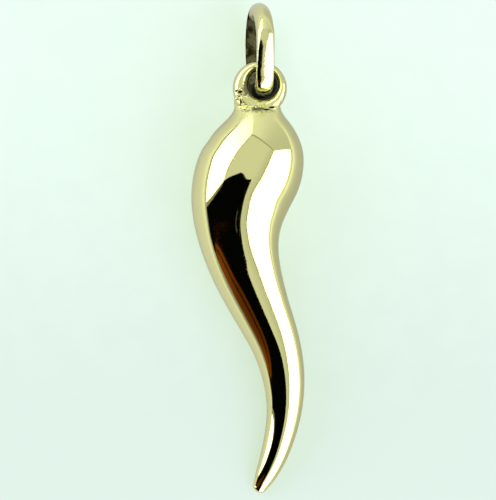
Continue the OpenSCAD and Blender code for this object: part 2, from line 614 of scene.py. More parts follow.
def sweep_tree():
    """Sweeps an oval section along a spine whose points carry their half sizes."""
    tree, start, ids = new_group(
        "GeometryNodeTree",
        "Oval Sweep",
        [
            ("Geometry", "Geometry"),
            ("Sides", "Int", 96),
            ("Roll", "Float", 0.0),
            ("Tilt", "Float", 0.0),
            ("Material", "Material"),
        ],
        [("Geometry", "Geometry")],
    )
    mesh, middle, out, up = swept_circle(tree, start["Geometry"], start["Sides"])
    wide = product(tree, stored(tree, "half_width"), out)
    lean = product(tree, stored(tree, "crest"), up)
    reach = maths(tree, "ADD", wide, lean)
    sideways = vectors(tree, "SCALE", stored(tree, "across", "FLOAT_VECTOR"), Scale=reach)
    upwards = joined(tree, Z=product(tree, stored(tree, "half_depth"), up))
    offset = vectors(tree, "ADD", sideways, upwards)
    last = shaped(tree, mesh, vectors(tree, "ADD", middle, offset))
    for label, axis in (("Roll", "Y"), ("Tilt", "X")):
        turn = {"Geometry": last, "Rotation": joined(tree, **{axis: start[label]})}
        last = add_node(tree, "GeometryNodeTransform", turn).outputs["Geometry"]
    near = {"Geometry": last, "Distance": RING_MERGE}
    last = add_node(tree, "GeometryNodeMergeByDistance", near).outputs["Geometry"]
    end_tree(tree, last, start["Material"])
    return tree, ids


# Eye and solder

# Cuts and cracks round the soldered foot of the eye
CUTS = (
    # x, y, to x, to y, depth, half width
    (-0.88, 11.50, -0.52, 11.70, 0.10, 0.05),
    (-0.74, 11.40, -0.30, 11.22, 0.12, 0.05),
    (-0.66, 11.22, -0.10, 11.12, 0.10, 0.06),
    (-0.60, 11.02, -0.40, 10.66, 0.20, 0.06),
    (1.15, 10.18, 1.60, 10.22, 0.16, 0.05),
    (1.60, 10.22, 1.95, 10.46, 0.16, 0.05),
    (0.10, 10.30, 0.50, 10.18, 0.10, 0.06),
)
# Lumps of solder between the eye and the head, as ellipsoids
LUMPS = (
    # x, y, z, half sizes in x, y and z
    (0.66, 10.28, 4.55, 1.56, 0.46, 0.92),
    (0.68, 10.62, 4.50, 1.55, 0.38, 0.76),
    (-0.42, 10.72, 4.62, 0.48, 0.42, 0.62),
    (-0.62, 11.05, 4.60, 0.42, 0.40, 0.52),
    (1.86, 10.64, 4.55, 0.40, 0.38, 0.60),
    (-0.05, 10.28, 5.05, 0.55, 0.22, 0.40),
    (0.95, 10.22, 5.15, 0.60, 0.20, 0.38),
    (1.75, 10.30, 5.00, 0.45, 0.22, 0.40),
)
# Dark marks that the soldering has left round the eye's foot
MARKS = (
    # x, y, half sizes in x and y, strength
    (-0.56, 11.51, 0.27, 0.13, 1.0),
    (-0.65, 11.20, 0.15, 0.07, 1.0),
    (-0.51, 10.80, 0.10, 0.22, 1.0),
    (-0.14, 11.75, 0.32, 0.72, 0.8),
    (0.70, 10.25, 0.55, 0.20, 0.85),
    (1.34, 10.20, 0.30, 0.09, 1.0),
    (1.72, 10.38, 0.26, 0.10, 1.0),
)
# Height of the marks' middle, and their half size through the metal
MARK_HEIGHT, MARK_DEPTH = 5.4, 2.0

# The rough work of the soldering stays below a place on Y, and is full below
# another and to the left of a place on X. Each has the width that it fades over
WORK_TOP, WORK_FADE = 11.75, 0.6
FOOT_TOP, FOOT_FADE = 11.0, 0.4
LEFT_EDGE, LEFT_FADE = 0.2, 0.5
# Height over the eye's middle in which the work comes in
FRONT_FADE = 0.4
# Share of the roughness that stays outside the foot and the left
QUIET = 0.35
# Shares and scales of the work's lumps, its grain and its pits, and the level
# over which a pit sinks in
LUMPY, LUMP_SCALE = 0.55, 2.6
GRAINY, GRAIN_SCALE = 0.45, 6.0
PITTED, PIT_SCALE, PIT_LEVEL = 1.2, 4.2, 0.22
PIT_SHIFT = Vector((7, 3, 1))
# Strength of the work on the eye and on the solder
EYE_WORK, SOLDER_WORK = 0.05, 0.07

# Points round the eye and round its section
EYE_TURNS, EYE_SIDES = 280, 96
# Powers under 1 make the section fuller than an oval, out from the hole and up
FULL_OUT, FULL_UP = 0.92, 0.88
# Grid and smoothing of the skin over the solder's lumps
SKIN_GRID, SKIN_SMOOTH, SKIN_ROUNDS = 0.05, 0.5, 8


def work_surface(body, strength, centre):
    """Roughens the soldered part of a mesh with fine lumps, pits and the cuts
    above. "centre" is the height under which the mesh stays as it is."""
    mesh = body.data
    count = len(mesh.vertices)
    places = np.empty(count * 3)
    mesh.vertices.foreach_get("co", places)
    places = places.reshape(-1, 3)
    normals = np.array([tuple(vertex.normal) for vertex in mesh.vertices])
    x, y, z = places.T

    def within(distance, fade):
        return np.clip(distance / fade, 0, 1)

    worked = within(WORK_TOP - y, WORK_FADE) * within(z - centre, FRONT_FADE)
    full = np.maximum(within(LEFT_EDGE - x, LEFT_FADE), within(FOOT_TOP - y, FOOT_FADE))
    worked = worked * (QUIET + (1 - QUIET) * full)
    push = np.zeros(count)
    for index in np.nonzero(worked > 0.01)[0]:
        spot = Vector(places[index])
        pit = noise.noise(spot * PIT_SCALE + PIT_SHIFT) - PIT_LEVEL
        push[index] = (
            LUMPY * noise.noise(spot * LUMP_SCALE)
            + GRAINY * noise.noise(spot * GRAIN_SCALE)
            - PITTED * max(0.0, pit)
        )
    push *= worked * strength
    for x0, y0, x1, y1, depth, half in CUTS:
        line = np.array([x1 - x0, y1 - y0])
        part = ((x - x0) * line[0] + (y - y0) * line[1]) / (line @ line)
        part = np.clip(part, 0, 1)
        away = np.hypot(x - x0 - part * line[0], y - y0 - part * line[1])
        push -= depth * np.exp(-((away / half) ** 2)) * (z > centre)
    places += normals * push[:, None]
    mesh.vertices.foreach_set("co", places.ravel())
    mesh.update()


def eye_ring(sizes, name):
    """The round eye as a closed ring of rounded section round its hole."""
    outer = sizes.diameter / MM / 2
    inner = sizes.hole / MM / 2
    shift = np.array(sizes.hole_offset) / MM
    half = sizes.thickness / MM / 2
    section = []
    for phi in np.linspace(0, 2 * math.pi, EYE_SIDES, endpoint=False):
        out, up = math.cos(phi), math.sin(phi)
        section.append((
            math.copysign(abs(out) ** FULL_OUT, out),
            math.copysign(abs(up) ** FULL_UP, up),
        ))
    points = []
    for theta in np.linspace(0, 2 * math.pi, EYE_TURNS, endpoint=False):
        way = np.array([math.cos(theta), math.sin(theta)])
        far = way * outer
        near = shift + way * inner
        middle = (far + near) / 2
        reach = (far - near) / 2
        points += [(*(middle + reach * out), half * up) for out, up in section]
    faces = []
    for i in range(EYE_TURNS):
        here, after = i * EYE_SIDES, (i + 1) % EYE_TURNS * EYE_SIDES
        for j in range(EYE_SIDES):
            right = (j + 1) % EYE_SIDES
            faces.append((here + j, after + j, after + right, here + right))
    return plain_mesh(name, points, [], faces)


def solder_lumps(name):
    """The lumps, run together into one skin."""
    net = bmesh.new()
    for x, y, z, *half_sizes in LUMPS:
        size = Matrix.Diagonal((*half_sizes, 1))
        bmesh.ops.create_icosphere(
            net, subdivisions=4, radius=1, matrix=Matrix.Translation((x, y, z)) @ size
        )
    mesh = bpy.data.meshes.new(name + "_parts")
    net.to_mesh(mesh)
    net.free()
    lumps = linked(name + "_parts", mesh)
    skin = lumps.modifiers.new("Skin", "REMESH")
    skin.mode = "VOXEL"
    skin.voxel_size = SKIN_GRID
    even = lumps.modifiers.new("Even", "SMOOTH")
    even.factor = SKIN_SMOOTH
    even.iterations = SKIN_ROUNDS
    return baked(lumps, name)


# Bail ring

# How far the bail's wire is bent in or out of a round ring, and how much is
# filed off its outer side
TURN, BEND, FILED = range(3)
BENDS = np.array([
    # angle up from the far end in degrees, bend and filed depth in mm
    (15.0, 0.00, 0.00),
    (45.0, 0.14, 0.00),
    (68.0, 0.25, 0.00),
    (77.0, 0.09, 0.02),
    (84.0, -0.02, 0.095),
    (90.0, -0.08, 0.16),
    (97.0, -0.13, 0.21),
    (104.0, -0.14, 0.255),
    (112.0, -0.12, 0.29),
    (120.0, -0.05, 0.31),
    (127.0, 0.00, 0.26),
    (135.0, 0.10, 0.17),
    (143.0, 0.16, 0.07),
    (152.0, 0.10, 0.04),
    (163.0, 0.00, 0.00),
])
# Degrees over which the corners between the rows are softened
BEND_SOFT = 2.0
# Points round the ring and round its wire
RING_POINTS, WIRE_SIDES = 400, 112
# Width of the wire across the ring, as a share of its depth
WIRE_WIDE = 1.05
# The file has worked where the ring's direction is below the first of each pair,
# and fully below the second, along the ring's own Y and X
FILED_Y, FILED_X = (0.6, 0.2), (0.2, -0.2)
# Scale and detail of the waves in the wire's surface
WAVE_SCALE, WAVE_DETAIL = 0.9, 1.5


def bail_rail(radius, name):
    """The middle line of the bail's wire, lying flat as a closed loop."""
    angle = np.linspace(0, 360, RING_POINTS, endpoint=False)

    def column(index):
        values = np.interp(angle, BENDS[:, TURN], BENDS[:, index])
        return softened(values, 360 / RING_POINTS, BEND_SOFT)

    reach = radius + column(BEND)
    theta = np.radians(angle)
    points = np.stack([-reach * np.sin(theta), reach * np.cos(theta), 0 * reach], 1)
    return line_of_points(name, points, closed=True, filed=column(FILED))


def bail_tree():
    """Heavy wire round a rail, filed flatter along the outer side of its upper
    half, and a little uneven as hand-closed rings are."""
    tree, start, ids = new_group(
        "GeometryNodeTree",
        "Wire Ring",
        [
            ("Geometry", "Geometry"),
            ("Half width", "Float", 0.1),
            ("Half depth", "Float", 0.1),
            ("Flatness", "Float", 0.6),
            ("Ridge", "Float", 0.0),
            ("Unevenness", "Float", 0.0),
            ("Seed", "Float", 3.0),
            ("Material", "Material"),
        ],
        [("Geometry", "Geometry")],
    )
    mesh, middle, out, side = swept_circle(tree, start["Geometry"], WIRE_SIDES)
    way = vectors(tree, "NORMALIZE", middle)
    ways = split(tree, way)
    # The file has worked the outer half of the section, on the upper half of the
    # ring and towards the eye
    worked = product(
        tree,
        maths(tree, "GREATER_THAN", out, 0.0),
        ease(tree, ways["Y"], *FILED_Y),
        ease(tree, ways["X"], *FILED_X),
    )
    power = maths(tree, "SUBTRACT", start["Flatness"], 1.0)
    power = maths(tree, "ADD", product(tree, worked, power), 1.0)

    def squared(value):
        """One of the circle's places, pushed out towards a square."""
        size = maths(tree, "POWER", maths(tree, "ABSOLUTE", value), power)
        return product(tree, maths(tree, "SIGN", value), size)

    inputs = {"W": start["Seed"], "Scale": WAVE_SCALE, "Detail": WAVE_DETAIL}
    ripple = add_node(tree, "ShaderNodeTexNoise", inputs, noise_dimensions="4D")
    wave = maths(tree, "SUBTRACT", ripple.outputs["Fac"], 0.5)
    wave = product(tree, wave, start["Unevenness"])
    bulge = squared(out)
    reach = product(tree, bulge, maths(tree, "ADD", start["Half depth"], wave))
    off = product(tree, stored(tree, "filed"), worked)
    reach = maths(tree, "SUBTRACT", reach, product(tree, bulge, off))
    # Two faces that meet in a low ridge
    fall = product(tree, maths(tree, "ABSOLUTE", side), worked, start["Ridge"])
    reach = product(tree, reach, maths(tree, "SUBTRACT", 1.0, fall))
    wide = maths(tree, "ADD", start["Half width"], wave)
    sideways = joined(tree, Z=product(tree, squared(side), wide))
    outwards = vectors(tree, "SCALE", way, Scale=reach)
    section = vectors(tree, "ADD", outwards, sideways)
    last = shaped(tree, mesh, vectors(tree, "ADD", middle, section))
    end_tree(tree, last, start["Material"])
    return tree, ids


# Gold

# Roughness of the polish and of the satin, depths of the scratches and the grain
# in millimetres, density of the scratches and scale of the grain
Finish = namedtuple("Finish", "polish satin scratched grained density grain")
HORN_FINISH = Finish(0.028, 0.22, 0.0002, 0.012, 1.0, 10.0)
EYE_FINISH = Finish(0.06, 0.2, 0.0006, 0.03, 1.6, 7.0)
BAIL_FINISH = Finish(0.055, 0.12, 0.0006, 0.008, 1.4, 6.0)
# Roughness that the dirt and the painted shade add, and that the faint haze over all the gold
# adds
DIRT_AND_SHADE_ROUGH, HAZE_ROUGH = 0.4, 0.025

# Middles and half sizes of the patches of painted shade: on the horn where it meets the solder,
# in the eye's hole, and on the part of the bail that lies hidden in the hole
JOINT_SHADE = (0.85, 10.15, 5.3), (1.4, 0.26, 1.6)
HOLE_SHADE = (1.10, 12.08, 4.3), (1.26, 1.26, 9.0)
HIDDEN_SHADE = (0.9, 12.0, 2.6), (1.7, 1.7, 3.4)

# Directions and stretch of the scratches, and the noise levels between which
# they deepen
SCRATCH_LAYS = (
    # turn, tilt, stretch across
    (0.3, 0.1, 14.0),
    (1.35, -0.2, 22.0),
    (2.3, 0.3, 18.0),
)
SCRATCH_ALONG = 0.55
SCRATCH_LEVELS = 0.62, 0.70


def place_in_mm(tree):
    """The object's own coordinates, in millimetres."""
    place = add_node(tree, "ShaderNodeTexCoord").outputs["Object"]
    return vectors(tree, "SCALE", place, Scale=1 / MM)


def facing_up(tree):
    """How far the surface faces up, from -1 to 1."""
    return split(tree, add_node(tree, "ShaderNodeTexCoord").outputs["Normal"])["Z"]


def shade_and_tarnish_patch():
    """A mask that is 1 inside a soft, broken-edged patch round a place."""
    group, start, _ = new_group(
        "ShaderNodeTree",
        "Shade And Tarnish Patch",
        [
            ("Centre", "Vector", (0, 0, 0)),
            ("Size", "Vector", (1, 1, 1)),
            ("Softness", "Float", 0.3),
            ("Raggedness", "Float", 0.5),
            ("Grain", "Float", 4.0),
        ],
        [("Mask", "Float")],
    )
    place = place_in_mm(group)
    shift = vectors(group, "SUBTRACT", place, start["Centre"])
    away = vectors(group, "LENGTH", vectors(group, "DIVIDE", shift, start["Size"]))
    grain = noise_of(group, place, start["Grain"], 3.0, 0.6)
    ragged = product(group, maths(group, "SUBTRACT", grain, 0.5), 2.0, start["Raggedness"])
    reach = maths(group, "ADD", away, ragged)
    inner = maths(group, "SUBTRACT", 1.0, start["Softness"])
    add_node(group, "NodeGroupOutput", {"Mask": ease(group, reach, 1.0, inner)})
    return group


def fine_scratches():
    """The height of hairline scratches left by a cloth and by wear."""
    group, start, _ = new_group(
        "ShaderNodeTree",
        "Fine Scratches",
        [("Amount", "Float", 1.0), ("Density", "Float", 1.0)],
        [("Height", "Float")],
    )
    place = place_in_mm(group)
    total = 0.0
    for turn, tilt, stretch in SCRATCH_LAYS:
        lay = {
            "Vector": place,
            "Rotation": (tilt, 0.0, turn),
            "Scale": (stretch, SCRATCH_ALONG, stretch),
        }
        lay = add_node(group, "ShaderNodeMapping", lay).outputs[0]
        lines = noise_of(group, lay, start["Density"], 1.0)
        total = maths(group, "ADD", total, ease(group, lines, *SCRATCH_LEVELS))
    height = product(group, total, start["Amount"], -1.0)
    add_node(group, "NodeGroupOutput", {"Height": height})
    return group


def satin_grain():
    """Fine tumbled grain: its height, and a patchy mask for its sheen."""
    group, start, _ = new_group(
        "ShaderNodeTree",
        "Satin Grain",
        [("Where", "Float", 1.0), ("Scale", "Float", 9.0)],
        [("Height", "Float"), ("Mask", "Float")],
    )
    place = place_in_mm(group)
    fine = noise_of(group, place, start["Scale"], 4.0, 0.7)
    broad = noise_of(group, place, 1.1)
    mask = product(group, start["Where"], ease(group, broad, 0.25, 0.7, 0.55, 1.0))
    height = product(group, maths(group, "SUBTRACT", fine, 0.5), mask)
    sheen = product(group, mask, ease(group, fine, 0.35, 0.65, 0.7, 1.0))
    add_node(group, "NodeGroupOutput", {"Height": height, "Mask": sheen})
    return group


class GoldPaint:
    """A gold material, built up from the shared groups."""

    groups = {}

    def __init__(self, name, colour, tarnish_and_shade, finish):
        self.material = bpy.data.materials.new(name)
        self.material.use_nodes = True
        self.tree = self.material.node_tree
        self.colour = colour
        self.tarnish_and_shade = tarnish_and_shade
        self.finish = finish

    def use(self, build, **inputs):
        """The outputs of one of the shared groups, built the first time."""
        if build not in self.groups:
            self.groups[build] = build()
        group = self.groups[build]
        return add_node(self.tree, "ShaderNodeGroup", inputs, node_tree=group).outputs

    def patch(self, centre, size, softness, raggedness, grain):
        """The mask of a dark patch, for painted shade and for the soldering's marks."""
        return self.use(
            shade_and_tarnish_patch,
            Centre=centre,
            Size=size,
            Softness=softness,
            Raggedness=raggedness,
            Grain=grain,
        )["Mask"]

    def marks(self, dirt_and_shade):
        """The dark marks of the soldering, laid over a mask of painted shade."""
        for x, y, wide, long, strength in MARKS:
            centre, size = (x, y, MARK_HEIGHT), (wide, long, MARK_DEPTH)
            ragged = min(0.9, 4 * min(wide, long))
            mark = product(self.tree, self.patch(centre, size, 0.4, ragged, 5.0), strength)
            dirt_and_shade = maths(self.tree, "MAXIMUM", dirt_and_shade, mark)
        return dirt_and_shade

    def painted(self, dirt_and_shade, satin):
        """The material, from the mask of its dirt and painted shade and the mask of its satin.
        """
        tree, finish = self.tree, self.finish
        scratches = self.use(fine_scratches, Density=finish.density)
        grain = self.use(satin_grain, Where=satin, Scale=finish.grain)
        haze = noise_of(tree, place_in_mm(tree), 0.8, 3.0)
        rough = ease(tree, haze, 0.4, 0.75, 0.0, HAZE_ROUGH)
        for more in (
            finish.polish,
            product(tree, grain["Mask"], finish.satin),
            product(tree, dirt_and_shade, DIRT_AND_SHADE_ROUGH),
        ):
            rough = maths(tree, "ADD", rough, more)
        inputs = {
            "Base Color": blend(tree, dirt_and_shade, self.colour, self.tarnish_and_shade),
            "Metallic": maths(tree, "SUBTRACT", 1.0, dirt_and_shade),
            "Roughness": rough,
            # Where the dirt and the painted shade cover the metal it has no shine of its own
            "Specular IOR Level": 0.0,
        }
        bump = {}
        for height, depth in (
            (scratches["Height"], finish.scratched),
            (grain["Height"], finish.grained),
        ):
            bump = {"Height": height, "Distance": depth * MM, **bump}
            bump = {"Normal": add_node(tree, "ShaderNodeBump", bump).outputs["Normal"]}
        shader = tree.nodes["Principled BSDF"]
        for label, value in {**inputs, **bump}.items():
            feed(tree, shader.inputs[label], value)
        return self.material


def horn_gold(look):
    """Mirror polish over the horn, satin along its sides and by the solder."""
    paint = GoldPaint("Polished gold", look.horn_colour, look.tarnish_and_shade, HORN_FINISH)
    tree = paint.tree
    sides = ease(tree, facing_up(tree), 0.62, 0.36)
    head = ease(tree, split(tree, place_in_mm(tree))["Y"], 8.3, 9.9, 0.0, 0.75)
    # Painted shade along the horn where it meets the solder, with the soldering's dark marks
    # laid over it
    foot = paint.patch(*JOINT_SHADE, 0.7, 1.3, 4.0)
    dirt_and_shade = paint.marks(product(tree, foot, 0.6))
    return paint.painted(dirt_and_shade, maths(tree, "MAXIMUM", sides, head))


def eye_gold(look, name="Eye gold", rough_work=0.0):
    """The eye's softer polish, with painted shade that blackens the inside of its hole."""
    paint = GoldPaint(name, look.horn_colour, look.tarnish_and_shade, EYE_FINISH)
    tree = paint.tree
    # Painted shade inside the eye's hole, with the soldering's dark marks laid over it
    dirt_and_shade = paint.marks(paint.patch(*HOLE_SHADE, 0.08, 0.04, 6.0))
    worked = ease(tree, split(tree, place_in_mm(tree))["Y"], 11.9, 11.0)
    return paint.painted(dirt_and_shade, maths(tree, "MAXIMUM", worked, rough_work))


def bail_gold(look):
    """Drawn wire with a worn polish, dark and dull inside its lowest part as painted shade with
    some dirt, and with painted shade where it lies hidden in the eye's hole.
    """
    paint = GoldPaint("Bail gold", look.bail_colour, look.tarnish_and_shade, BAIL_FINISH)
    tree = paint.tree
    place, facing = place_in_mm(tree), facing_up(tree)
    parts = split(tree, place)
    # Painted shade with some dirt, low on the inside of the ring
    inside = product(tree, ease(tree, parts["Z"], 3.6, 2.6), ease(tree, facing, -0.15, 0.05))
    mottle = noise_of(tree, place, 1.9, 4.0, 0.6)
    # The darkening is fullest along the left, and thins out towards the right
    fuller_left = ease(tree, parts["X"], 0.15, 0.6, 1.0, 0.96)
    broken = product(tree, fuller_left, ease(tree, mottle, 0.4, 0.62, 1.0, 0.88))
    steep = ease(tree, facing, 0.45, 0.3)
    # Painted shade on the part of the ring that lies hidden in the eye's hole
    hidden = product(tree, paint.patch(*HIDDEN_SHADE, 0.25, 0.3, 3.0), steep, 0.97)
    dirt_and_shade = maths(tree, "MAXIMUM", product(tree, inside, broken), hidden)
    return paint.painted(dirt_and_shade, maths(tree, "MAXIMUM", inside, 0.15))


# Light box, in its own axes: "back" runs to its back wall and "left" to its left
# wall, from the middle of the pendant

BOX_YAW = 56.8
BOX_TILT, BOX_SIDE_TILT = -0.84, -5.22
BOX_BACK, BOX_LEFT, BOX_RIGHT, BOX_TOP = 190, 187, 194, 300
BOX_FRONT = 460
# Strip of shade along each edge where two walls of the cloth box are sewn
SEAM = 20
# Height of what starts out of sight under the surface, and heights that the
# strips of shade at the foot of the right and the left wall reach up to
UNDER, RIGHT_FOOT, LEFT_FOOT = -40, 4, 34
# The left wall's front edge leans forward from its foot to its seam, and is
# hemmed. Its lower side rises from the back to that edge
EDGE_FOOT, EDGE_TOP, HEM = -208, -262, 18
WALL_LOW, EDGE_LOW = 28, 40

# Edge of the ceiling round the opening that the pendant is photographed
# through, from the left wall round to the front
OPENING = (
    # back, left
    (-266, 187),
    (-112, 24),
    (-110, -14),
    (-124, -44),
    (-124, -70),
    (-112, -94),
    (-106, -104),
    (-122, -109),
    (-190, -124),
    (-300, -130),
    (-460, -135),
)
# Slit in the ceiling beside the opening
SLIT = ((-240, -68), (-238, -72), (-214, -80), (-213, -75))
# Top edge of the low fold of cloth along the left side and round the front
FOLD = (
    # back, left, height
    (190, 187, 24),
    (-110, 187, 27),
    (-210, 187, 40),
    (-297, 187, 38),
    (-418, 187, 90),
    (-460, 155, 124),
    (-460, 110, 140),
)
# A brown thing seen through the opening, as heights over the horizon in degrees
# at turns from the front towards the left
BROWN_REACH = 480
BROWN = (
    # turn, low edge, dark line, past the dark line, high edge
    (28.0, 11.0, 12.5, 13.2, 15.0),
    (26.0, 11.0, 16.5, 17.7, 19.6),
    (24.0, 11.0, 20.0, 21.3, 23.4),
    (22.0, 11.0, 22.5, 24.0, 26.4),
    (19.7, 12.0, 25.0, 26.8, 29.5),
    (17.0, 12.3, 26.8, 28.8, 32.7),
    (14.6, 12.5, 28.7, 30.8, 35.4),
    (12.0, 13.0, 31.0, 33.0, 37.7),
    (8.2, 15.0, 33.8, 35.8, 40.4),
    (4.5, 20.0, 36.5, 38.2, 42.6),
    (1.0, 27.0, 38.5, 39.5, 43.8),
)

# Half the width of the surface, in metres
SURFACE_HALF = 1.5
# Share of its brightness that the surface keeps in the gold's mirror on the
# pendant's right, and to the eye beside the tip
RIGHT_SHADE, TIP_SHADE = 0.75, 0.88
# Painted colour that the gold mirrors of the surface far away and at the back
FAR_MIRRORED = (0.80, 0.80, 0.73)
# Place on the surface that shows through the eye's hole, and the radii between
# which its deep shade ends
UNDER_HOLE, SHADE_RADII = (1.12, 12.24, 0), (1.0, 1.6)
SHADE, NO_LIGHT = (0.01, 0.01, 0.006), (0.0, 0.0, 0.0)
# Colour of the dark room outside the box, as the gold mirrors it
DARK_ROOM = (0.0012, 0.0012, 0.0008)
# Where the camera stands, in millimetres from the middle
CAMERA_X, CAMERA_Y = 0.007, -0.042


def box_point(back, left, height):
    """A place in the box's axes, in the scene's own."""
    yaw = math.radians(BOX_YAW)
    to_back = Vector((math.cos(yaw), math.sin(yaw), 0))
    to_left = Vector((-math.sin(yaw), math.cos(yaw), 0))
    place = to_back * back + to_left * left + Vector((0, 0, height))
    tilt = Matrix.Rotation(math.radians(BOX_TILT), 4, "X")
    return Matrix.Rotation(math.radians(BOX_SIDE_TILT), 4, "Y") @ tilt @ place


def glow(name, colour, strength, fade=None):
    """A glowing surface of the light box. A fade is a direction in the box's
    axes, two places along it in millimetres, and the brightness at the second."""
    material = bpy.data.materials.new(name)
    material.use_nodes = True
    tree = material.node_tree
    tree.nodes.clear()
    light = {"Color": (*colour, 1), "Strength": strength}
    if fade:
        axis, near, far, other = fade
        place = add_node(tree, "ShaderNodeTexCoord").outputs["Object"]
        along = vectors(tree, "DOT_PRODUCT", place, box_point(*axis))
        light["Strength"] = ease(tree, along, near * MM, far * MM, strength, other)
    light = add_node(tree, "ShaderNodeEmission", light).outputs[0]
    add_node(tree, "ShaderNodeOutputMaterial", {"Surface": light})
    return material


def surface_paint(look):
    """The pale surface, greyer in the gold's mirror than to the camera: painted shade round the
    pendant in the mirror, a painted glow that only the camera sees, and painted deep shade under
    the eye's hole.
    """
    material = bpy.data.materials.new("Pale surface")
    material.use_nodes = True
    tree = material.node_tree
    place = place_in_mm(tree)
    parts = split(tree, place)
    ray = add_node(tree, "ShaderNodeLightPath").outputs

    def distance(centre, squeeze):
        """Distance from a place on the surface, in millimetres."""
        shift = [-c * s for c, s in zip(centre, squeeze)]
        lay = {"Vector": place, "Location": shift, "Scale": squeeze}
        return vectors(tree, "LENGTH", add_node(tree, "ShaderNodeMapping", lay).outputs[0])

    # Painted shade in the gold's mirror: the cloth mirrors darker close round the pendant, on
    # its right and in front
    away = ease(tree, distance((0, 0, 0), (1.0, 0.4, 0.0)), 6.0, 55.0)
    behind = vectors(tree, "DOT_PRODUCT", place, box_point(1, 0, 0))
    lit = product(tree, away, ease(tree, behind, -120.0, -30.0))
    right = ease(tree, parts["X"], 0.0, 6.0)
    mirrored_shade = look.floor_mirrored_shade
    close_shade = blend(tree, right, mirrored_shade, [RIGHT_SHADE * c for c in mirrored_shade])
    far = blend(tree, lit, close_shade, FAR_MIRRORED)
    # The light falls off towards the tip, and a faint mottling lies over it
    weave = ease(tree, noise_of(tree, place, 0.4, 3.0), 0.3, 0.7, 0.0, 0.12)
    fall = maths(tree, "ADD", ease(tree, parts["Y"], 16.0, -16.0), weave)
    colour, painted_glow = (
        blend(tree, fall, tone, [TIP_SHADE * c for c in tone])
        for tone in (look.floor_colour, look.floor_glow)
    )
    colour = blend(tree, ray["Is Glossy Ray"], colour, far)
    # A painted glow that only the camera sees softens the shadows on the cloth
    painted_glow = blend(tree, ray["Is Camera Ray"], NO_LIGHT, painted_glow)
    under = ease(tree, distance(UNDER_HOLE, (1, 1, 0)), *SHADE_RADII)
    shader = tree.nodes["Principled BSDF"]
    for label, value in (
        ("Base Color", blend(tree, under, SHADE, colour)),
        ("Emission Color", blend(tree, under, NO_LIGHT, painted_glow)),
        ("Emission Strength", 1.0),
        ("Roughness", 0.9),
        ("Specular IOR Level", 0.1),
    ):
        feed(tree, shader.inputs[label], value)
    return material


def box_panel(name, corners, material, faces=None):
    """A panel of the light box, from its corners in the box's axes."""
    points = [box_point(*corner) * MM for corner in corners]
    panel = plain_mesh(name, points, [], faces or [range(len(points))])
    panel.data.materials.append(material)
    panel.visible_camera = False
    panel.visible_shadow = False


def band_panel(name, low, high, material):
    """A panel between two lines of corners."""
    count = len(low)
    faces = [(i, i + 1, count + i + 1, count + i) for i in range(count - 1)]
    box_panel(name, list(low) + list(high), material, faces)


def upright(one, two, low, high):
    """The corners of an upright panel over the line between two places."""
    return [(*one, low), (*two, low), (*two, high), (*one, high)]


def brown_edge(column):
    """One of the brown thing's edges, round the front of the box."""
    edge = []
    for row in BROWN:
        turn, height = math.radians(row[0]), math.radians(row[column])
        way = (-math.cos(turn), math.sin(turn), math.tan(height))
        edge.append([BROWN_REACH * part for part in way])
    return edge


def light_box(look):
    """The walls, the ceiling and the seams of the box, and what lies outside."""
    top, back, left, right = BOX_TOP, BOX_BACK, BOX_LEFT, -BOX_RIGHT
    to_back, to_left, up = (1, 0, 0), (0, 1, 0), (0, 0, 1)
    white, warm = (1, 1, 1), (1, 1, 0.97)
    wall, ceiling, fold, brown = look.wall, look.ceiling, look.fold, look.brown
    left_light = glow("Left wall light", white, wall, (to_back, -40, back, 0.62 * wall))
    right_light = glow("Right wall light", white, wall)
    back_light = glow("Back wall light", (0.98, 1, 0.97), look.back, (to_left, -120, 150, 0.9))
    soft = glow("Ceiling light", warm, ceiling, (to_left, -90, right, 0.82 * ceiling))
    shade = glow("Seam shade", (0.98, 1, 0.9), look.seam)
    foot = glow("Wall foot light", (1, 1, 0.9), 2.8 * look.seam)
    folded = glow("Fold light", (0.98, 0.98, 1), fold, (up, 20, 120, 0.3 * fold))
    edge = glow("Wall edge light", (1, 0.97, 0.7), look.seam)
    outside = glow("Brown light", (1, 0.24, 0.01), brown, (to_left, 90, 200, 2.2 * brown))

    back_left, back_right, front_right = (back, left), (back, right), (-BOX_FRONT, right)
    wall_top = top - SEAM
    ceiling_edge = [back_left, back_right, front_right, *reversed(OPENING)]
    for name, corners, material in (
        (
            "left_wall",
            [
                (back, left, WALL_LOW),
                (EDGE_FOOT, left, EDGE_LOW),
                (EDGE_TOP, left, wall_top),
                (back, left, wall_top),
            ],
            left_light,
        ),
        (
            "left_edge",
            [
                (EDGE_FOOT, left, EDGE_LOW),
                (EDGE_FOOT - HEM, left, EDGE_LOW),
                (EDGE_TOP - HEM, left, wall_top),
                (EDGE_TOP, left, wall_top),
            ],
            edge,
        ),
        ("right_wall", upright(back_right, front_right, RIGHT_FOOT, wall_top), right_light),
        ("back_wall", upright(back_left, back_right, UNDER, wall_top), back_light),
        ("ceiling", [(*corner, top) for corner in ceiling_edge], soft),
        ("left_seam", upright(back_left, (EDGE_TOP, left), wall_top, top), shade),
        ("right_seam", upright(back_right, front_right, wall_top, top), shade),
        ("back_seam", upright(back_left, back_right, wall_top, top), shade),
        (
            "left_foot",
            upright(back_left, (EDGE_FOOT, left), LEFT_FOOT - SEAM, LEFT_FOOT),
            shade,
        ),
        (
            "right_foot",
            upright(back_right, front_right, RIGHT_FOOT - SEAM, RIGHT_FOOT),
            foot,
        ),
    ):
        box_panel(name, corners, material)
    band_panel("fold", [(u, w - 1, UNDER) for u, w, _ in FOLD], FOLD, folded)
    band_panel("brown_low", brown_edge(1), brown_edge(2), outside)
    band_panel("brown_high", brown_edge(3), brown_edge(4), outside)
    box_panel("slit", [(*corner, top) for corner in SLIT], folded)


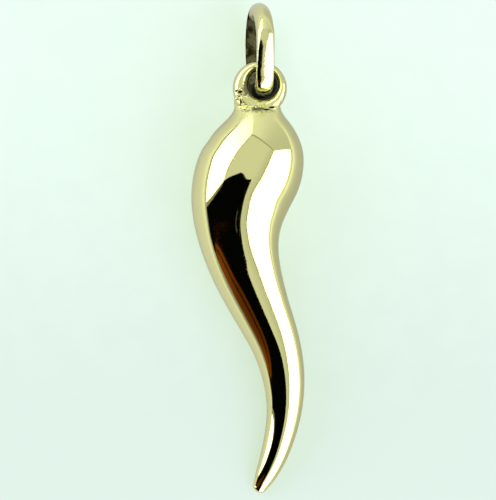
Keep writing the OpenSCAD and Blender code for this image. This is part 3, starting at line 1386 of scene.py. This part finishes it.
def backdrop(scene, look):
    """What is seen past the surface, and the dark room that the gold mirrors."""
    scene.world = bpy.data.worlds.new("Backdrop")
    scene.world.use_nodes = True
    tree = scene.world.node_tree
    tree.nodes.clear()
    dark, seen = (
        add_node(tree, "ShaderNodeBackground", {"Color": (*colour, 1)}).outputs[0]
        for colour in (DARK_ROOM, look.backdrop)
    )
    ray = add_node(tree, "ShaderNodeLightPath").outputs["Is Camera Ray"]
    mix = add_node(tree, "ShaderNodeMixShader", {"Fac": ray, 1: dark, 2: seen})
    add_node(tree, "ShaderNodeOutputWorld", {"Surface": mix.outputs[0]})


def camera_above(scene, look):
    """The camera straight above the pendant, and how its picture is shown."""
    lens = bpy.data.cameras.new("Camera")
    lens.lens = look.lens
    lens.sensor_width = 36
    lens.clip_start, lens.clip_end = 0.01, 5
    scene.camera = linked("Camera", lens)
    scene.camera.location = (CAMERA_X * MM, CAMERA_Y * MM, look.height)
    view = scene.view_settings
    view.view_transform, view.look = "Standard", "None"
    view.exposure, view.gamma = 0, 1


# Operators


class BuildStage(bpy.types.Operator):
    """Build the surface, the light box round it and the camera"""

    bl_idname = "pendant.build_stage"
    bl_label = "Stage"

    def execute(self, context):
        scene = context.scene
        look = scene.pendant.studio
        half = SURFACE_HALF
        corners = [(-half, -half, 0), (half, -half, 0), (half, half, 0), (-half, half, 0)]
        floor = plain_mesh("surface", corners, [], [(0, 1, 2, 3)])
        floor.data.materials.append(surface_paint(look))
        light_box(look)
        backdrop(scene, look)
        camera_above(scene, look)
        return {"FINISHED"}


class BuildHorn(bpy.types.Operator):
    """Build the polished horn as a swept shell"""

    bl_idname = "pendant.build_horn"
    bl_label = "Horn"

    def execute(self, context):
        settings = context.scene.pendant
        sizes = settings.horn
        horn = run_tree(
            horn_spine(sizes, "horn_spine"),
            *sweep_tree(),
            "horn_body",
            sides=sizes.sides,
            roll=sizes.roll,
            tilt=sizes.tilt,
            material=horn_gold(settings.gold),
        )
        place = (sizes.place[0] / MM, sizes.place[1] / MM, shoulder_height(sizes))
        horn.data.transform(Matrix.Translation(place))
        close_and_turn_out(horn)
        smooth_in_metres(horn)
        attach(horn, "root")
        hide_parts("horn")
        return {"FINISHED"}


class BuildEye(bpy.types.Operator):
    """Build the eye and the solder round its foot"""

    bl_idname = "pendant.build_eye"
    bl_label = "Eye"

    def execute(self, context):
        settings = context.scene.pendant
        sizes, horn = settings.eye, settings.horn
        lift = shoulder_height(horn) - sizes.drop / MM
        place = (horn.place[0] / MM, (horn.place[1] + sizes.reach) / MM, lift)
        eye = eye_ring(sizes, "eye")
        eye.data.transform(Matrix.Translation(place))
        eye.data.materials.append(eye_gold(settings.gold))
        solder = solder_lumps("solder")
        solder.data.materials.append(eye_gold(settings.gold, "Solder gold", 1.0))
        for body, strength in ((eye, EYE_WORK), (solder, SOLDER_WORK)):
            close_and_turn_out(body)
            work_surface(body, strength, lift)
            smooth_in_metres(body)
            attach(body, "root")
            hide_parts("horn")
        return {"FINISHED"}


class BuildBail(bpy.types.Operator):
    """Build the heavy round bail ring"""

    bl_idname = "pendant.build_bail"
    bl_label = "Bail ring"

    def execute(self, context):
        settings = context.scene.pendant
        sizes = settings.bail
        wire = sizes.wire / MM / 2
        radius = sizes.diameter / MM / 2 - wire
        bail = run_tree(
            bail_rail(radius, "bail_rail"),
            *bail_tree(),
            "bail",
            half_width=WIRE_WIDE * wire,
            half_depth=wire,
            flatness=sizes.flatness,
            ridge=sizes.ridge,
            unevenness=sizes.unevenness / MM,
            material=bail_gold(settings.gold),
        )
        height = radius * math.cos(sizes.lean) + wire
        place = (sizes.place[0] / MM, sizes.place[1] / MM, height)
        turn = Matrix.Rotation(sizes.turn, 4, "Z")
        lean = Matrix.Rotation(math.pi / 2 + sizes.lean, 4, "Y")
        bail.data.transform(Matrix.Translation(place) @ turn @ lean)
        close_and_turn_out(bail)
        smooth_in_metres(bail)
        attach(bail, "root")
        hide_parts("bail_ring")
        return {"FINISHED"}


class PendantPanel(bpy.types.Panel):
    """The pendant's builders, sizes and looks"""

    bl_idname = "VIEW3D_PT_pendant"
    bl_label = "Horn Pendant"
    bl_space_type = "VIEW_3D"
    bl_region_type = "UI"
    bl_category = "Pendant"

    def draw(self, context):
        settings = context.scene.pendant
        for operator, group in (
            (BuildStage, settings.studio),
            (BuildHorn, settings.horn),
            (BuildEye, settings.eye),
            (BuildBail, settings.bail),
            (None, settings.gold),
        ):
            box = self.layout.box()
            if operator:
                box.operator(operator.bl_idname)
            else:
                box.label(text="Gold")
            for key in group.__annotations__:
                box.prop(group, key)


CLASSES = (
    HornSizes,
    EyeSizes,
    BailSizes,
    GoldLook,
    StudioLook,
    PendantSettings,
    BuildStage,
    BuildHorn,
    BuildEye,
    BuildBail,
    PendantPanel,
)


def register():
    for item in CLASSES:
        bpy.utils.register_class(item)
    bpy.types.Scene.pendant = PointerProperty(type=PendantSettings)


def unregister():
    del bpy.types.Scene.pendant
    for item in reversed(CLASSES):
        bpy.utils.unregister_class(item)


def main():
    register()
    bpy.ops.pendant.build_stage()
    bpy.ops.pendant.build_horn()
    bpy.ops.pendant.build_eye()
    bpy.ops.pendant.build_bail()


if __name__ == "__main__":
    main()
